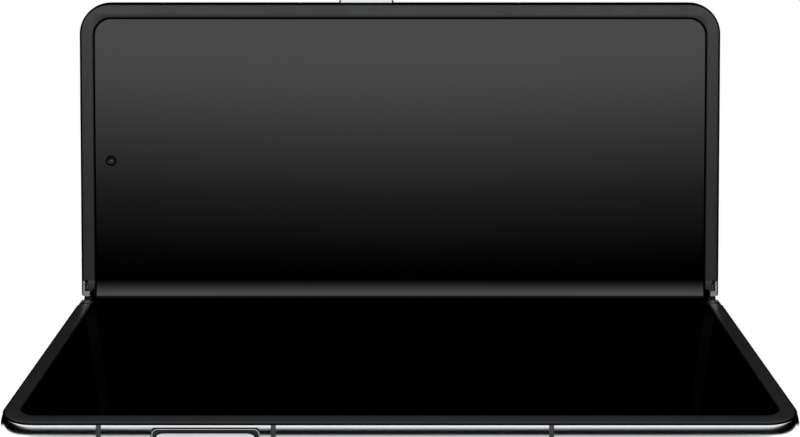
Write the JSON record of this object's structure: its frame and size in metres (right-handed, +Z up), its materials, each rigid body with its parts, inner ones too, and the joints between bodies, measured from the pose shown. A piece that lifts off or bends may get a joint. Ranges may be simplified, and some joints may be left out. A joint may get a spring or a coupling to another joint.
{
  "type": "foldable smartphone",
  "caption": "Book-style folding phone standing half open: screen halves on a geared two-axis hinge spine, with keys, card tray, port and cameras.",
  "frame": {"origin": "middle of the lower half's outer glass, on the surface it rests on", "axes": "+X along the hinge, to the right as a viewer faces the display; +Y from the front edge back to the hinge; +Z up"},
  "size_m": [0.158, 0.0976, 0.0774],
  "materials": {
    "frame_metal": "polished metal with a faint brushed grain",
    "polished_cap": "softly polished",
    "antenna_plastic": "smooth dark grey plastic",
    "bezel_plastic": "fine satin black plastic",
    "screen_black": "glossy black, screen off",
    "cover_glass": "glossy black glass",
    "rear_glass": "satin dark grey glass",
    "island_metal": "satin dark metal",
    "camera_black": "black anodised barrel",
    "lens_glass": "coated lens glass",
    "flash_lens": "clear ribbed lens over a pale yellow lamp",
    "steel": "plain rolled steel",
    "screw_steel": "dark plated steel",
    "gear_brass": "plain machined brass",
    "battery_foil": "dark wrapped foil pouch",
    "board_green": "green board with tinned cans",
    "speaker_black": "black plastic box",
    "coil_copper": "flat wound copper"
  },
  "bodies": {
    "lower_half": {"lower_frame": "frame_metal", "lower_antenna_strips": "antenna_plastic", "lower_hinge_caps": "polished_cap", "lower_bezel": "bezel_plastic", "lower_display": "screen_black", "lower_display_plate": "steel", "cover_glass": "cover_glass", "cover_display": "screen_black", "cover_camera": "camera_black", "lower_battery": "battery_foil", "lower_board": "board_green", "lower_speaker": "speaker_black", "earpiece_speaker": "speaker_black", "sim_reader": "steel", "volume_switches": "gear_brass", "lower_rotors": "steel", "lower_sync_arm": "gear_brass", "lower_screws": "screw_steel"},
    "hinge_spine": {"spine_cover": "polished_cap", "spine_end_caps": "bezel_plastic", "rail_guides": "steel", "gear_carrier": "steel", "spine_screws": "screw_steel", "display_fold": "screen_black"},
    "upper_half": {"upper_frame": "frame_metal", "upper_antenna_strips": "antenna_plastic", "upper_hinge_caps": "polished_cap", "upper_bezel": "bezel_plastic", "upper_display": "screen_black", "upper_display_plate": "steel", "inner_camera": "camera_black", "rear_glass": "rear_glass", "camera_island": "island_metal", "main_camera": "camera_black", "wide_camera": "camera_black", "tele_camera": "camera_black", "lens_covers": "lens_glass", "flash_lens": "flash_lens", "main_board": "board_green", "upper_battery": "battery_foil", "usb_c_port": "steel", "upper_speaker": "speaker_black", "charging_coil": "coil_copper", "vibration_motor": "steel", "power_switch": "gear_brass", "upper_rotors": "steel", "upper_sync_arm": "gear_brass", "upper_screws": "screw_steel"},
    "volume_key": {"volume_key": "frame_metal"},
    "power_key": {"power_key": "frame_metal"},
    "sim_tray": {"sim_tray": "frame_metal", "sim_card": "gear_brass"},
    "timing_gear_1": {"timing_gear_1": "gear_brass"},
    "timing_gear_2": {"timing_gear_2": "gear_brass"},
    "timing_gear_3": {"timing_gear_3": "gear_brass"},
    "timing_gear_4": {"timing_gear_4": "gear_brass"}
  },
  "joints": [
    {"name": "lower_fold", "type": "hinge", "parent": "lower_half", "child": "hinge_spine", "pos_m": [0, 0.03489, 0.00669], "axis": [1, 0, 0], "range_deg": [-38, 52.8]},
    {"name": "upper_fold", "type": "hinge", "parent": "hinge_spine", "child": "upper_half", "pos_m": [0, 0.03711, 0.00843], "axis": [1, 0, 0], "range_deg": [-38, 52.8], "deforming": ["display_fold"]},
    {"name": "volume_rock", "type": "hinge", "parent": "lower_half", "child": "volume_key", "pos_m": [-0.0375, -0.0346, 0.00325], "axis": [0, 0, 1], "range_deg": [-1.2, 1.2], "stiffness_Nm_per_rad": 0.3},
    {"name": "power_press", "type": "slide", "parent": "upper_half", "child": "power_key", "axis": [0, -0.2419, -0.9703], "range_m": [0, 0.00025], "stiffness_N_per_m": 2000},
    {"name": "tray_slide", "type": "slide", "parent": "lower_half", "child": "sim_tray", "axis": [1, 0, 0], "range_m": [0, 0.0165]},
    {"name": "gear_spin_1", "type": "hinge", "parent": "hinge_spine", "child": "timing_gear_1", "pos_m": [0, 0.03576, 0.00299], "axis": [1, 0, 0], "range_deg": [-106.96, 148.4]},
    {"name": "gear_spin_2", "type": "hinge", "parent": "hinge_spine", "child": "timing_gear_2", "pos_m": [0, 0.03734, 0.00422], "axis": [1, 0, 0], "range_deg": [-148.4, 106.96]},
    {"name": "gear_spin_3", "type": "hinge", "parent": "hinge_spine", "child": "timing_gear_3", "pos_m": [0, 0.03891, 0.00545], "axis": [1, 0, 0], "range_deg": [-106.96, 148.4]},
    {"name": "gear_spin_4", "type": "hinge", "parent": "hinge_spine", "child": "timing_gear_4", "pos_m": [0, 0.04049, 0.00668], "axis": [1, 0, 0], "range_deg": [-148.4, 106.96]}
  ],
  "couplings": [
    {"joint": "upper_fold", "follows": "lower_fold", "ratio": 1},
    {"joint": "gear_spin_1", "follows": "lower_fold", "ratio": 2.8},
    {"joint": "gear_spin_2", "follows": "lower_fold", "ratio": -2.8},
    {"joint": "gear_spin_3", "follows": "lower_fold", "ratio": 2.8},
    {"joint": "gear_spin_4", "follows": "lower_fold", "ratio": -2.8}
  ]
}
